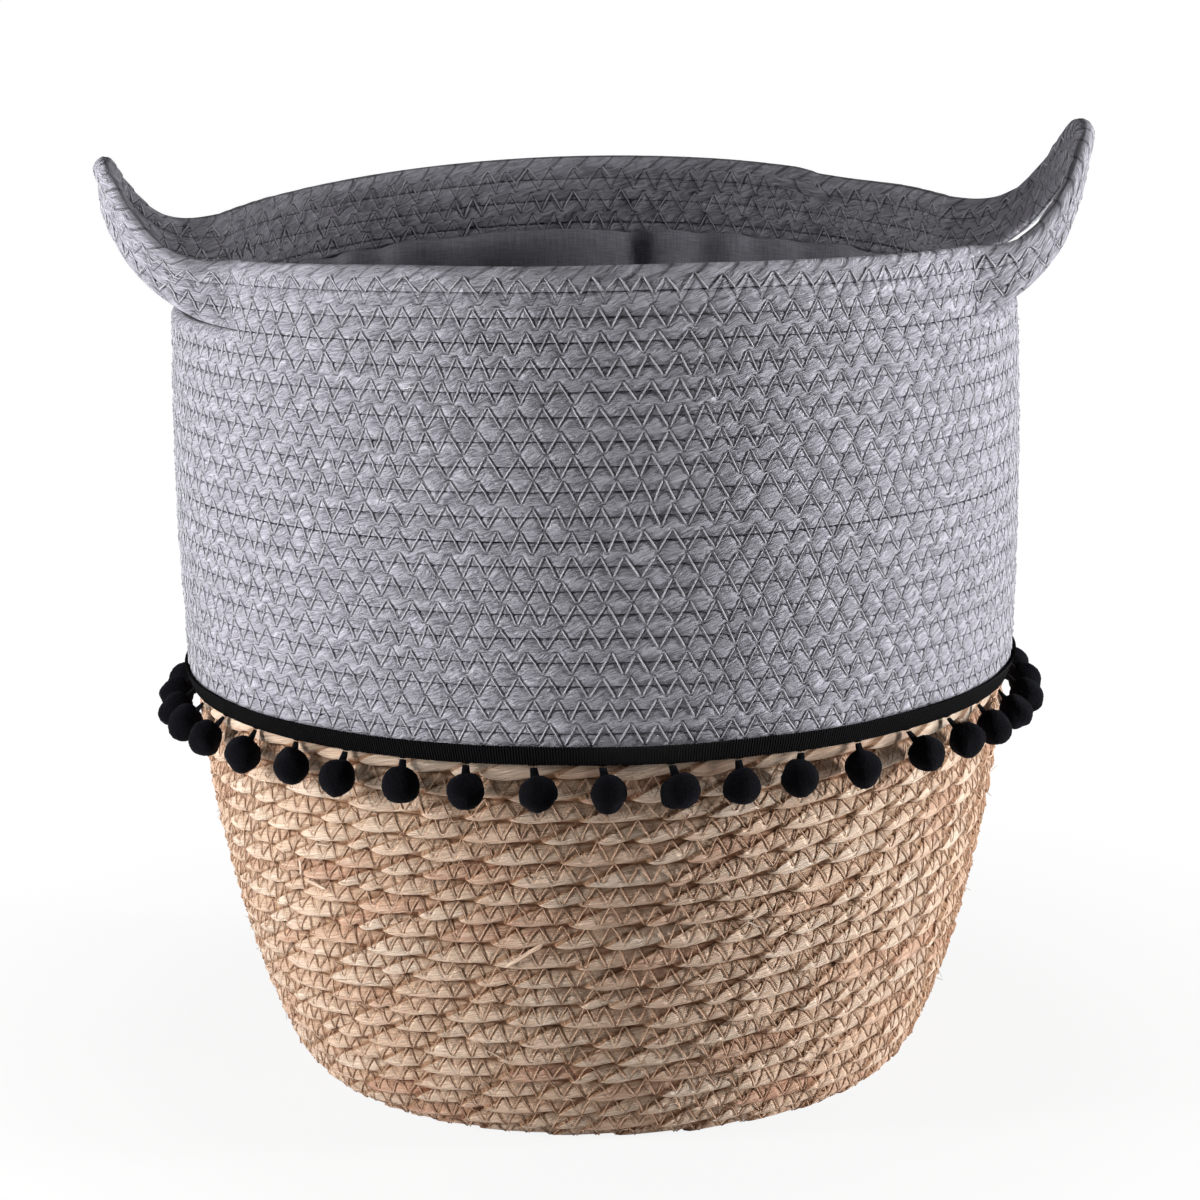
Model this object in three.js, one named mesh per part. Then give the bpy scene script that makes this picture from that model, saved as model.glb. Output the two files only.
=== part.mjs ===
// Round basket of coiled rope: a natural straw lower part, a grey upper part with two loop handles,
// a black ribbon with hanging pom-poms over the change of rope, and a cloth lining inside.
// Millimetres, +Z up. The origin is on the ground at the middle of the base, the handles are at +X and -X.
import * as THREE from "three";

// Clearance between pieces that touch
const GAP = 0.3;

// Body: the outer shape of the rope wall
const BASE_RADIUS = 122; // circle that the basket stands on
const HEEL_REACH = 26; // how far the heel swings out before the wall turns up
const HEEL_LIFT = 0.5; // how high it climbs meanwhile
const LOWER_TOP_RADIUS = 176.5; // natural wall where the grey rope takes over
const SHOULDER_DROP = 46; // length of the nearly upright stretch below that
const JOIN_HEIGHT = 178; // height where the grey rope takes over
const ROPE_STEP = 3; // the grey rope stands this much proud of the natural one
const BELLY_PULL = 6.4; // how far the belly draws the grey wall out beyond its bottom
const RIM_SPREAD = 1.1; // how much further out the rim is than that bottom
const RIM_HEIGHT = 373; // mean height of the rim
const RIM_DIP = 5; // the rim is this much lower at the handles and higher between them
const DIP_POWER = 1.5; // how fast that dip fades down the grey wall

// Rope: rows sewn on top of each other
const ROPE_PITCH = 9.8; // height of a row along the wall
const ROPE_DEPTH = 8; // thickness of the wall over the rope's crests
const GROOVE_DEPTH = 1.5; // seam between two rows
const STRAW_CREST = 0.3; // the straw sags, so its crest lies this share of the row above the seam
const RIM_ROUNDING = 2; // rounding of the last row's top
const HEEL_ROWS = 7; // straw rows in the outward curve above the base
const SHOULDER_ROWS = 7; // straw rows in the nearly upright stretch at the top
const BELLY_ROWS = 9; // grey rows below the widest place

// Handles: the top rows leave the wall, flare outwards and rise
const HANDLE_ROWS = 3;
const HANDLE_HALF_ANGLE = 28; // degrees of the wall to each side of a handle's middle
const HANDLE_FLARE = 27.6; // outwards at the lower edge
const FLARE_POWERS = [3.9, 1.6]; // roundness of the loop from above, at its middle and at its ends
const RISE_POWERS = [2.7, 3.3]; // the same for the loop's arch seen from the side
const FOOT_PRESS = 0.2; // share by which the band is narrower near its feet
const FOOT_PLACE = 1.8; // where along the loop that is: higher lies nearer to its ends
// For each handle: the angle of its middle from +X in degrees, how far the band tips outwards at
// its top in degrees, and how far the rows rise
const RIGHT_HANDLE = { middle: -2, lean: 14, rise: 45 };
const LEFT_HANDLE = { middle: 187, lean: 10, rise: 37 };

// Ribbon over the change of rope
const RIBBON_WIDTH = 8.6;
const RIBBON_THICKNESS = 1;
const RIBBON_LAP = 5; // how far it reaches up over the grey rope
const RIBBON_STAND = 1.3; // how far its lower edge stands off the natural rope

// Pom-poms on short ties
const POM_COUNT = 40;
const POM_RADIUS = 7.35;
const POM_HALF_HEIGHT = 7.8;
const POM_STAND = 3; // how far a ball stands off the natural rope
const TIE_LENGTH = 4.5;
const TIE_RADIUS = 1.4;
const TIE_TAPER = 2; // the tie's top narrows over this length and so swings clear of the ribbon
// How far the pom-poms lean aside, in degrees, from the front one to the right: a pattern used twice
const POM_LEANS = [11, 10, -8, -23, -16, 13, 11, -4, -6, 5, 0, 4, -14, -14, 9, 21, 7, 15, 11, 14];

// Lining
const CLOTH_THICKNESS = 1;
const LINING_EASE = 0.75; // how far the cloth lies from the rope's crests
const LINING_DROP = 32; // from the rim down to the lining's top edge
const LINING_RINGS = [0.25, 0.6]; // where it bends on the natural wall, as shares of that wall's length
const FOLD_COUNT = 25;
const FOLD_DEPTH = 6; // at the top edge
const FOLD_FADE = 0.25; // share of that depth that is left at the base
// The folds crowd together and spread out again this often round the bag, by this many radians of a
// fold, and these are the two waves' starts in degrees
const FOLD_CROWDS = 5;
const FOLD_DRIFT = 3;
const FOLD_STARTS = { folds: 32.5, crowds: 42.5 };

// Fineness of the round shapes
const ROUND_STEPS = 48;
const LOWER_STRIDE = 3; // rows between two rings of the natural wall's inner face
const UPPER_STRIDE = 4; // and of the grey wall's, behind the lining
const LINING_STEPS = 144;
const HANDLE_STEPS = 18;
const RIM_STEPS = 18;
const POM_SIDES = 8;
const POM_LEVELS = 6;

const rad = THREE.MathUtils.degToRad;
const point = (r, z) => new THREE.Vector2(r, z);

// Outlines of the two walls over the crests of the rope, from the bottom up
const lowerOutline = new THREE.CubicBezierCurve(
  point(BASE_RADIUS, 0),
  point(BASE_RADIUS + HEEL_REACH, HEEL_LIFT),
  point(LOWER_TOP_RADIUS, JOIN_HEIGHT - SHOULDER_DROP),
  point(LOWER_TOP_RADIUS, JOIN_HEIGHT),
);
const upperBottom = LOWER_TOP_RADIUS + ROPE_STEP;
const upperOutline = new THREE.QuadraticBezierCurve(
  point(upperBottom, JOIN_HEIGHT),
  point(upperBottom + BELLY_PULL, (JOIN_HEIGHT + RIM_HEIGHT) / 2),
  point(upperBottom + RIM_SPREAD, RIM_HEIGHT),
);
const lowerRows = Math.round(lowerOutline.getLength() / ROPE_PITCH);
const upperRows = Math.round(upperOutline.getLength() / ROPE_PITCH);

// The point of an outline at a share of its length, moved into the wall by a depth
function inward(outline, share, depth) {
  const at = THREE.MathUtils.clamp(share, 0, 1);
  const p = outline.getPointAt(at);
  const t = outline.getTangentAt(at);
  return point(p.x - t.y * depth, p.y + t.x * depth);
}

// Rows of rope from one seam to another: a point in every seam and on every crest
function ropeRows(outline, rows, from, to, seamDepth, crestDepth, crestAt = 0.5) {
  const points = [];
  for (let row = from; row < to; row++) {
    points.push(inward(outline, row / rows, seamDepth));
    points.push(inward(outline, (row + crestAt) / rows, crestDepth));
  }
  points.push(inward(outline, to / rows, seamDepth));
  return points;
}

// A smooth face along an outline, with a point on every few rows
function smoothRows(outline, rows, from, to, every, depth) {
  const points = [];
  for (let row = from; row < to; row += every) {
    points.push(inward(outline, row / rows, depth));
  }
  points.push(inward(outline, to / rows, depth));
  return points;
}

// How much the rim's saddle shape lifts a point: front and back high, handle sides low
function saddle(angle, z) {
  const climb = THREE.MathUtils.clamp((z - JOIN_HEIGHT) / (RIM_HEIGHT - JOIN_HEIGHT), 0, 1);
  return -RIM_DIP * Math.cos(2 * angle) * climb ** DIP_POWER;
}

// A geometry with every vertex moved by a function of its angle, radius and height
function reshaped(geometry, move) {
  const position = geometry.getAttribute("position");
  for (let i = 0; i < position.count; i++) {
    const x = position.getX(i);
    const y = position.getY(i);
    const z = position.getZ(i);
    const angle = Math.atan2(y, x);
    const next = move(angle, Math.hypot(x, y), z);
    position.setXYZ(i, next.r * Math.cos(angle), next.r * Math.sin(angle), next.z);
  }
  geometry.computeVertexNormals();
  return geometry;
}

const onSaddle = (angle, r, z) => ({ r, z: z + saddle(angle, z) });

// A ring turned from a profile that runs up its outer face and down its inner one
function ring(outer, inner, steps) {
  const profile = [...outer, ...inner, outer[0].clone()];
  return new THREE.LatheGeometry(profile, steps).rotateX(Math.PI / 2);
}

// A plain disc, turned from a profile that starts and ends on the axis
function disc(radius, bottom, top, steps) {
  const profile = [point(0, bottom), point(radius, bottom), point(radius, top), point(0, top)];
  return new THREE.LatheGeometry(profile, steps).rotateX(Math.PI / 2);
}

// A band through sections of facing outer and inner points, closed at both ends
function band(sections) {
  const pairs = sections[0].outer.length;
  const loop = 2 * pairs;
  const positions = [];
  for (const { outer, inner } of sections) {
    for (const p of [...outer, ...inner.toReversed()]) positions.push(p.x, p.y, p.z);
  }
  const index = [];
  const quad = (a, b, c, d) => index.push(a, b, c, a, c, d);
  for (let s = 0; s + 1 < sections.length; s++) {
    for (let k = 0; k < loop; k++) {
      const next = (k + 1) % loop;
      quad(s * loop + k, (s + 1) * loop + k, (s + 1) * loop + next, s * loop + next);
    }
  }
  const last = (sections.length - 1) * loop;
  for (let k = 0; k + 1 < pairs; k++) {
    const back = loop - 1 - k;
    quad(k, k + 1, back - 1, back);
    quad(last + k, last + back, last + back - 1, last + k + 1);
  }
  const geometry = new THREE.BufferGeometry();
  geometry.setAttribute("position", new THREE.Float32BufferAttribute(positions, 3));
  geometry.setIndex(index);
  geometry.computeVertexNormals();
  return geometry;
}

// Base and walls
const baseDisc = () => disc(BASE_RADIUS - GAP, 0, ROPE_DEPTH, ROUND_STEPS);

// A band of straw rope from one seam to another
function strawBand(from, to) {
  const outer = ropeRows(lowerOutline, lowerRows, from, to, GROOVE_DEPTH, 0, STRAW_CREST);
  const inner = smoothRows(
    lowerOutline, lowerRows, from, to, LOWER_STRIDE, ROPE_DEPTH).toReversed();
  if (from === 0) {
    outer[0] = point(BASE_RADIUS, 0);
    inner[inner.length - 1] = point(BASE_RADIUS, ROPE_DEPTH);
  } else {
    for (const p of [outer[0], inner[inner.length - 1]]) p.y += GAP;
  }
  if (to === lowerRows) for (const p of [outer[outer.length - 1], inner[0]]) p.y -= GAP / 2;
  return ring(outer, inner, ROUND_STEPS);
}

// A band of grey rope below the rows that form the handles, smooth inside where the lining hides it
const handleFloorRow = upperRows - HANDLE_ROWS;
const linedRow = Math.floor(upperRows - LINING_DROP / ROPE_PITCH);

function greyBand(from, to) {
  const outer = ropeRows(upperOutline, upperRows, from, to, GROOVE_DEPTH, 0);
  const hidden = smoothRows(
    upperOutline, upperRows, from, Math.min(to, linedRow - 1), UPPER_STRIDE, ROPE_DEPTH);
  const shown = to < linedRow ? [] : ropeRows(
    upperOutline, upperRows, linedRow, to, ROPE_DEPTH - GROOVE_DEPTH, ROPE_DEPTH);
  const inner = [...hidden, ...shown].toReversed();
  const gap = from === 0 ? GAP / 2 : GAP;
  for (const p of [outer[0], inner[inner.length - 1]]) p.y += gap;
  return reshaped(ring(outer, inner, ROUND_STEPS), onSaddle);
}

// The last rows: facing points of their outer and inner faces, standing on the grey wall
function lastRows() {
  const rows = (seam, crest, top) => {
    const points = ropeRows(upperOutline, upperRows, handleFloorRow, upperRows, seam, crest);
    points[0].y += GAP;
    points[points.length - 1] = inward(upperOutline, 1, top);
    return points;
  };
  return {
    outer: rows(GROOVE_DEPTH, 0, RIM_ROUNDING),
    inner: rows(ROPE_DEPTH - GROOVE_DEPTH, ROPE_DEPTH, ROPE_DEPTH - RIM_ROUNDING),
  };
}

// The rim from one handle to the other, counter-clockwise seen from above
function rim(after, before) {
  const { outer, inner } = lastRows();
  const clearance = GAP / inner[0].x;
  const from = rad(after.middle + HANDLE_HALF_ANGLE) + clearance;
  const to = rad(before.middle - HANDLE_HALF_ANGLE) - clearance;
  const sections = [];
  for (let step = 0; step <= RIM_STEPS; step++) {
    const angle = from + ((to - from) * step) / RIM_STEPS;
    const place = (p) => new THREE.Vector3(
      p.x * Math.cos(angle), p.x * Math.sin(angle), p.y + saddle(angle, p.y));
    sections.push({ outer: outer.map(place), inner: inner.map(place) });
  }
  return band(sections);
}

// Handles: t runs from -1 to 1 along the loop
const arch = (t, [middle, ends]) => (1 - Math.abs(t) ** middle) ** ends;
const flareAt = (t) => arch(t, FLARE_POWERS);
const riseAt = (t) => arch(t, RISE_POWERS);

function handle({ middle, lean, rise }) {
  const { outer, inner } = lastRows();
  const floor = inward(upperOutline, handleFloorRow / upperRows, ROPE_DEPTH / 2);
  const halfBand = (inward(upperOutline, 1, ROPE_DEPTH / 2).y - floor.y) / 2;
  const angleAt = (t) => rad(middle + HANDLE_HALF_ANGLE * t);
  const foot = (t) => {
    const angle = angleAt(t);
    const r = floor.x + HANDLE_FLARE * flareAt(t);
    return new THREE.Vector3(r * Math.cos(angle), r * Math.sin(angle), 0);
  };
  const probe = 1e-3;
  const sections = [];
  for (let step = 0; step <= HANDLE_STEPS; step++) {
    const t = (2 * step) / HANDLE_STEPS - 1;
    const along = foot(Math.min(t + probe, 1)).sub(foot(Math.max(t - probe, -1))).normalize();
    const outwards = new THREE.Vector3(along.y, -along.x, 0);
    const tip = rad(lean) * flareAt(t);
    const width = 1 - FOOT_PRESS * Math.sin(Math.PI * Math.abs(t) ** FOOT_PLACE) ** 2;
    const place = (p) => {
      const across = p.x - floor.x;
      const up = halfBand + (p.y - floor.y - halfBand) * width;
      const out = across * Math.cos(tip) + up * Math.sin(tip);
      const height = up * Math.cos(tip) - across * Math.sin(tip);
      const z = floor.y + saddle(angleAt(t), p.y) + height + rise * riseAt(t);
      return foot(t).addScaledVector(outwards, out).setZ(z);
    };
    sections.push({ outer: outer.map(place), inner: inner.map(place) });
  }
  return band(sections);
}

// Ribbon: a tape that leans from the grey rope's first crest down to the natural rope
const ribbonTop = point(0, JOIN_HEIGHT + RIBBON_LAP);
ribbonTop.x = inward(upperOutline, RIBBON_LAP / upperOutline.getLength(), 0).x + GAP;
const ribbonFall = LOWER_TOP_RADIUS + RIBBON_STAND - ribbonTop.x;
const ribbonBottom = point(
  ribbonTop.x + ribbonFall, ribbonTop.y - Math.sqrt(RIBBON_WIDTH ** 2 - ribbonFall ** 2));

function ribbon() {
  const outer = [ribbonBottom.clone(), ribbonTop.clone()];
  for (const p of outer) p.x += RIBBON_THICKNESS;
  return ring(outer, [ribbonTop, ribbonBottom], ROUND_STEPS);
}

// Pom-poms: each is a ball and its tie, hung from the middle of the ribbon's lower edge
const hinge = point(ribbonBottom.x + RIBBON_THICKNESS / 2, ribbonBottom.y);
const tieStart = GAP + RIBBON_THICKNESS / 2;
const ballDrop = tieStart + TIE_LENGTH + POM_HALF_HEIGHT;
const restAngle = Math.asin((LOWER_TOP_RADIUS + POM_STAND + POM_RADIUS - hinge.x) / ballDrop);

function pomGeometry() {
  const profile = [point(0, -ballDrop - POM_HALF_HEIGHT)];
  const neck = Math.asin(TIE_RADIUS / POM_RADIUS);
  for (let level = 1; level <= POM_LEVELS; level++) {
    const turn = ((Math.PI - neck) * level) / POM_LEVELS;
    profile.push(
      point(POM_RADIUS * Math.sin(turn), -ballDrop - POM_HALF_HEIGHT * Math.cos(turn)));
  }
  profile.push(point(TIE_RADIUS, -tieStart - TIE_TAPER), point(0, -tieStart));
  return new THREE.LatheGeometry(profile, POM_SIDES).rotateX(Math.PI / 2);
}

// Lining: a thin bag against the wall, drawn in by soft folds that fade downwards
const foldDepth = (z) =>
  FOLD_DEPTH * (FOLD_FADE + (1 - FOLD_FADE) * THREE.MathUtils.clamp(z / RIM_HEIGHT, 0, 1));

function liningFold(angle, r, z) {
  const crowd = FOLD_DRIFT * Math.sin(FOLD_CROWDS * angle + rad(FOLD_STARTS.crowds));
  const fold = Math.cos(FOLD_COUNT * angle + crowd + rad(FOLD_STARTS.folds));
  const depth = foldDepth(z) * (0.5 - 0.5 * fold);
  return { r: r - depth, z: z + saddle(angle, z) };
}

const liningFoot = (depth) => inward(lowerOutline, 0.5 / lowerRows, depth);

function liningSide() {
  const top = 1 - LINING_DROP / upperOutline.getLength();
  const face = (depth) => [
    liningFoot(depth),
    ...LINING_RINGS.map((share) => inward(lowerOutline, share, depth)),
    inward(upperOutline, 0, depth + ROPE_STEP),
    inward(upperOutline, top / 2, depth),
    inward(upperOutline, top, depth),
  ];
  const outer = face(ROPE_DEPTH + LINING_EASE);
  const inner = face(ROPE_DEPTH + LINING_EASE + CLOTH_THICKNESS).toReversed();
  return reshaped(ring(outer, inner, LINING_STEPS), liningFold);
}

function liningBase() {
  const foot = liningFoot(ROPE_DEPTH + LINING_EASE + CLOTH_THICKNESS);
  const bottom = ROPE_DEPTH + GAP;
  return disc(foot.x - foldDepth(foot.y) - GAP, bottom, bottom + CLOTH_THICKNESS, ROUND_STEPS);
}

// Finishes
const finish = (color, roughness) =>
  new THREE.MeshStandardMaterial({ color, roughness, metalness: 0 });
const naturalRope = finish(0xc49a6c, 0.8);
const greyRope = finish(0x94949c, 0.75);
const blackTape = finish(0x101014, 0.8);
const blackPile = finish(0x0c0c10, 0.95);
const greyCloth = finish(0x56565c, 0.9);

// Assembly
const basket = new THREE.Group();

function add(name, geometry, material) {
  const mesh = new THREE.Mesh(geometry, material);
  mesh.name = name;
  basket.add(mesh);
  return mesh;
}

add("base_disc", baseDisc(), naturalRope);
add("lower_heel", strawBand(0, HEEL_ROWS), naturalRope);
add("lower_wall", strawBand(HEEL_ROWS, lowerRows - SHOULDER_ROWS), naturalRope);
add("lower_shoulder", strawBand(lowerRows - SHOULDER_ROWS, lowerRows), naturalRope);
add("upper_belly", greyBand(0, BELLY_ROWS), greyRope);
add("upper_collar", greyBand(BELLY_ROWS, handleFloorRow), greyRope);
add("rim_back", rim(RIGHT_HANDLE, LEFT_HANDLE), greyRope);
add("rim_front", rim(LEFT_HANDLE, { middle: RIGHT_HANDLE.middle + 360 }), greyRope);
add("handle_right", handle(RIGHT_HANDLE), greyRope);
add("handle_left", handle(LEFT_HANDLE), greyRope);
add("trim_ribbon", ribbon(), blackTape);
add("liner_side", liningSide(), greyCloth);
add("liner_base", liningBase(), greyCloth);

// The first pom-pom hangs at the front, and the others follow to the right
for (let i = 0; i < POM_COUNT; i++) {
  const pom = add(`pom_${String(i + 1).padStart(2, "0")}`, pomGeometry(), blackPile);
  const angle = -Math.PI / 2 + (2 * Math.PI * i) / POM_COUNT;
  pom.rotation.set(rad(POM_LEANS[i % POM_LEANS.length]), -restAngle, angle, "ZYX");
  pom.position.set(hinge.x * Math.cos(angle), hinge.x * Math.sin(angle), hinge.y);
}

export default basket;
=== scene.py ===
"""Round basket of coiled rope, dressed for the camera: sewn straw rope below, sewn grey paper rope
above with two loop handles, a ribbed ribbon with pom-poms, and a gathered cloth lining.
Sizes are millimetres until net() turns them into metres; angles run counter-clockwise from +X."""
from math import cos, pi, radians, sin, tau

import bmesh
import bpy
import numpy as np
from mathutils import Matrix, Vector


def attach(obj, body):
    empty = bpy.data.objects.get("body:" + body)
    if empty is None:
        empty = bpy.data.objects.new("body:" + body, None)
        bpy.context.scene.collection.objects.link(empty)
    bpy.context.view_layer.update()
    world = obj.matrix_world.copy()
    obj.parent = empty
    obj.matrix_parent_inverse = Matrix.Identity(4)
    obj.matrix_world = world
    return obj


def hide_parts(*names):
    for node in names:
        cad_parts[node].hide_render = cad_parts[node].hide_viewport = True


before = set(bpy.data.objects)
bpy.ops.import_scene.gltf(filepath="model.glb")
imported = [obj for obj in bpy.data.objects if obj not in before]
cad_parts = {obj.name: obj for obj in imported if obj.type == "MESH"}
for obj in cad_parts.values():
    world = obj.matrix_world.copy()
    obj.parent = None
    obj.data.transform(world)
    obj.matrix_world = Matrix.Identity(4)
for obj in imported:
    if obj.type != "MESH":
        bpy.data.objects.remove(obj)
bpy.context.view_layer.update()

MM = 0.001

# Camera
CAMERA_AT = (0, -2.0, 0.63996)
CAMERA_PITCH, CAMERA_YAW, CAMERA_ROLL = 0.2146169, 0.000121, -0.0167429
CAMERA_LENS = 140.011


def set_camera():
    turn = Matrix.Rotation(-CAMERA_YAW, 4, "Z") @ Matrix.Rotation(pi / 2 - CAMERA_PITCH, 4, "X")
    turn = turn @ Matrix.Rotation(CAMERA_ROLL, 4, "Z")
    data = bpy.data.cameras.new("camera")
    data.sensor_width = 36
    data.lens = CAMERA_LENS
    camera = bpy.data.objects.new("camera", data)
    camera.matrix_world = Matrix.Translation(CAMERA_AT) @ turn
    bpy.context.scene.collection.objects.link(camera)
    bpy.context.scene.camera = camera


# Basket shape
BASE_RADIUS, BASE_RINGS = 122, 12
HEEL_REACH, HEEL_LIFT = 26, 0.5
LOWER_TOP_RADIUS = 176.5
SHOULDER_DROP = 46
JOIN_HEIGHT = 178
UPPER_BOTTOM = 179.5
BELLY_PULL, RIM_SPREAD = 6.4, 1.1
RIM_HEIGHT = 373
RIM_DIP, DIP_POWER = 5, 1.5
ROWS = 20  # rows of rope in each of the two walls
ROPE_DEPTH = 8
HEEL_ROWS, SHOULDER_ROW, COLLAR_ROW = 7, 13, 9  # rows where one band of a wall gives way to the next
HANDLE_ROW = 17  # the rows above this one form the handles
HANDLE_HALF = radians(28)
HANDLE_FLARE = 27.6
FOOT_PRESS = 0.2  # share that a handle's band is narrower at its feet
ROPE_END, END_DROP = radians(58), 1.7  # where the coil ends at the rim, and how far the rim steps down
FLARE_POWERS = (3.9, 1.6)
RISE_POWERS = (2.7, 3.3)
HANDLES = ((radians(-2), radians(14), 45), (radians(187), radians(10), 37))  # middle, lean, rise
(RIGHT, *_), (LEFT, *_) = HANDLES
BACK_ARC = (RIGHT + HANDLE_HALF, LEFT - HANDLE_HALF)
FRONT_ARC = (LEFT + HANDLE_HALF, RIGHT - HANDLE_HALF + tau)
POM_COUNT = 40
RIPPLE_ROWS = 61  # cells of a ripple upwards, before it repeats


def bezier(points, t):
    points = [np.array(p, float) for p in points]
    while len(points) > 1:
        points = [a * (1 - t) + b * t for a, b in zip(points, points[1:])]
    return points[0]


class Outline:
    """A wall's outline over the crests of its rope, read by share of its length"""

    def __init__(self, *points):
        at = bezier(points, np.linspace(0, 1, 3001)[:, None])
        steps = np.diff(at, axis=0)
        size = np.hypot(*steps.T)
        self.run = np.concatenate([[0], np.cumsum(size)])
        self.length = self.run[-1]
        self.at = at
        self.mid = (self.run[1:] + self.run[:-1]) / 2
        self.way = steps / size[:, None]

    def point(self, share, depth):
        """Radius and height at a share of the length, this deep in the wall"""
        run = np.asarray(share) * self.length
        over = run - np.clip(run, 0, self.length)
        r, z = (np.interp(run, self.run, self.at[:, k]) for k in (0, 1))
        tr, tz = (np.interp(run, self.mid, self.way[:, k]) for k in (0, 1))
        return r + over * tr - tz * depth, z + over * tz + tr * depth


straw_outline = Outline((BASE_RADIUS, 0), (BASE_RADIUS + HEEL_REACH, HEEL_LIFT),
                        (LOWER_TOP_RADIUS, JOIN_HEIGHT - SHOULDER_DROP),
                        (LOWER_TOP_RADIUS, JOIN_HEIGHT))
grey_outline = Outline((UPPER_BOTTOM, JOIN_HEIGHT),
                       (UPPER_BOTTOM + BELLY_PULL, (JOIN_HEIGHT + RIM_HEIGHT) / 2),
                       (UPPER_BOTTOM + RIM_SPREAD, RIM_HEIGHT))


def ease(low, high, x):
    """0 below low, 1 above high and smooth between"""
    t = np.clip((x - low) / (high - low), 0, 1)
    return t * t * (3 - 2 * t)


def ripple(x, y, wrap, seed):
    """Smooth random hills from -1 to 1, one to a cell; along x they repeat after wrap cells"""
    heights = np.random.default_rng(seed).uniform(-1, 1, (wrap, RIPPLE_ROWS))
    i, j = whole(x), whole(y)
    fx, fy = x - i, y - j
    fx, fy = fx * fx * (3 - 2 * fx), fy * fy * (3 - 2 * fy)

    def level(j):
        return heights[i % wrap, j % RIPPLE_ROWS] * (1 - fx) + heights[(i + 1) % wrap, j % RIPPLE_ROWS] * fx

    return level(j) * (1 - fy) + level(j + 1) * fy


def saddle(a, z):
    climb = np.clip((z - JOIN_HEIGHT) / (RIM_HEIGHT - JOIN_HEIGHT), 0, 1.02)
    return -RIM_DIP * np.cos(2 * a) * climb ** DIP_POWER


def whole(x):
    return np.floor(x).astype(int)


def nearest(x):
    return np.round(x).astype(int)


def turned(a, r, z):
    return np.stack([r * np.cos(a), r * np.sin(a), z], 1)


def each(values):
    """Each value that occurs, and where it does"""
    return ((value, values == value) for value in np.unique(values))


def unit(ways):
    return ways / np.maximum(np.linalg.norm(ways, axis=1, keepdims=True), 1e-9)


def grey_drift(a, w):
    """The sewn rows wander a little up and down"""
    return 0.55 * ripple(a / tau * 15, w * 0.55, 15, 5) * ease(0, 2, w)


def grey_point(a, w, depth):
    r, z = grey_outline.point(w / ROWS, depth)
    return turned(a, r, z + saddle(a, z) + grey_drift(a, w))


def arch(t, powers):
    return (1 - np.clip(np.abs(t), 0, 1) ** powers[0]) ** powers[1]


def handle_share(a, middle):
    """Runs from -1 to 1 along the handle with this middle"""
    return ((a - middle + pi) % tau - pi) / HANDLE_HALF


def at_handle(a):
    """1 along the handles and 0 along the rim between them"""
    away = np.min([np.abs(handle_share(a, middle)) for middle, *_ in HANDLES], axis=0)
    return 1 - ease(0.9, 1.0, away)


def rim_point(a, w, depth):
    """The rows from HANDLE_ROW up: on the wall, or out along a handle"""
    at = grey_point(a, w, depth)
    floor_r, floor_z = grey_outline.point(HANDLE_ROW / ROWS, ROPE_DEPTH / 2)
    r, z = grey_outline.point(w / ROWS, depth)
    across, up = r - floor_r, z - floor_z
    band = grey_outline.point(1, ROPE_DEPTH / 2)[1] - floor_z
    for middle, lean, rise in HANDLES:
        def foot(t):
            return turned(middle + HANDLE_HALF * t, floor_r + HANDLE_FLARE * arch(t, FLARE_POWERS), 0 * t)

        t = handle_share(a, middle)
        # the band is pressed narrower where it leaves the wall
        pressed = FOOT_PRESS * np.sin(pi * np.clip(np.abs(t), 0, 1) ** 1.8) ** 2
        narrow = band / 2 + (up - band / 2) * (1 - pressed)
        along = unit(foot(np.clip(t + 1e-3, -1, 1)) - foot(np.clip(t - 1e-3, -1, 1)))
        outwards = np.stack([along[:, 1], -along[:, 0], 0 * t], 1)
        tip = lean * arch(t, FLARE_POWERS)
        out = across * np.cos(tip) + narrow * np.sin(tip)
        height = narrow * np.cos(tip) - across * np.sin(tip)
        there = foot(t) + outwards * out[:, None]
        there[:, 2] = (floor_z + saddle(a, z) + grey_drift(a, w) + height
                       + rise * arch(t, RISE_POWERS))
        here = np.abs(t) < 1
        at[here] = there[here]
    # beyond the coil's end the rim lies lower
    past = (ROPE_END - a + pi) % tau - pi
    step = ease(0, radians(5), past) * (1 - ease(radians(8), radians(24), past))
    at[:, 2] -= END_DROP * step * ease(18.5, 19.6, w)
    return at


def measure_rim():
    """Angles round the rim, and how far the rope runs up to each, out along the handles"""
    angles = np.linspace(0, tau, 2881)
    at = rim_point(angles, 0 * angles + 18.7, 0 * angles + ROPE_DEPTH / 2)
    runs = np.concatenate([[0], np.cumsum(np.linalg.norm(np.diff(at, axis=0), axis=1))])
    return angles, runs


RIM_ANGLES, RIM_RUNS = measure_rim()
RIM_RADIUS = RIM_RUNS[-1] / tau


def rim_turn(a):
    """Angle for which the rope of the rim has run evenly"""
    turns = np.floor(a / tau)
    return (np.interp(a - turns * tau, RIM_ANGLES, RIM_RUNS / RIM_RUNS[-1]) + turns) * tau


def rim_angle(b):
    turns = np.floor(b / tau)
    return np.interp(b / tau - turns, RIM_RUNS / RIM_RUNS[-1], RIM_ANGLES) + turns * tau


def straw_point(a, w, depth):
    r, z = straw_outline.point(w / ROWS, depth)
    wander = 0.8 * ripple(a / tau * 18, w * 0.5, 18, 8) * ease(1, 3, w) * (1 - ease(18, 20, w))
    return turned(a, r, np.maximum(z + wander, 0))


def base_point(a, w, depth):
    """The flat base from below: w counts the rings from its middle"""
    return turned(a, w * BASE_RADIUS / BASE_RINGS, np.maximum(depth, 0))


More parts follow.
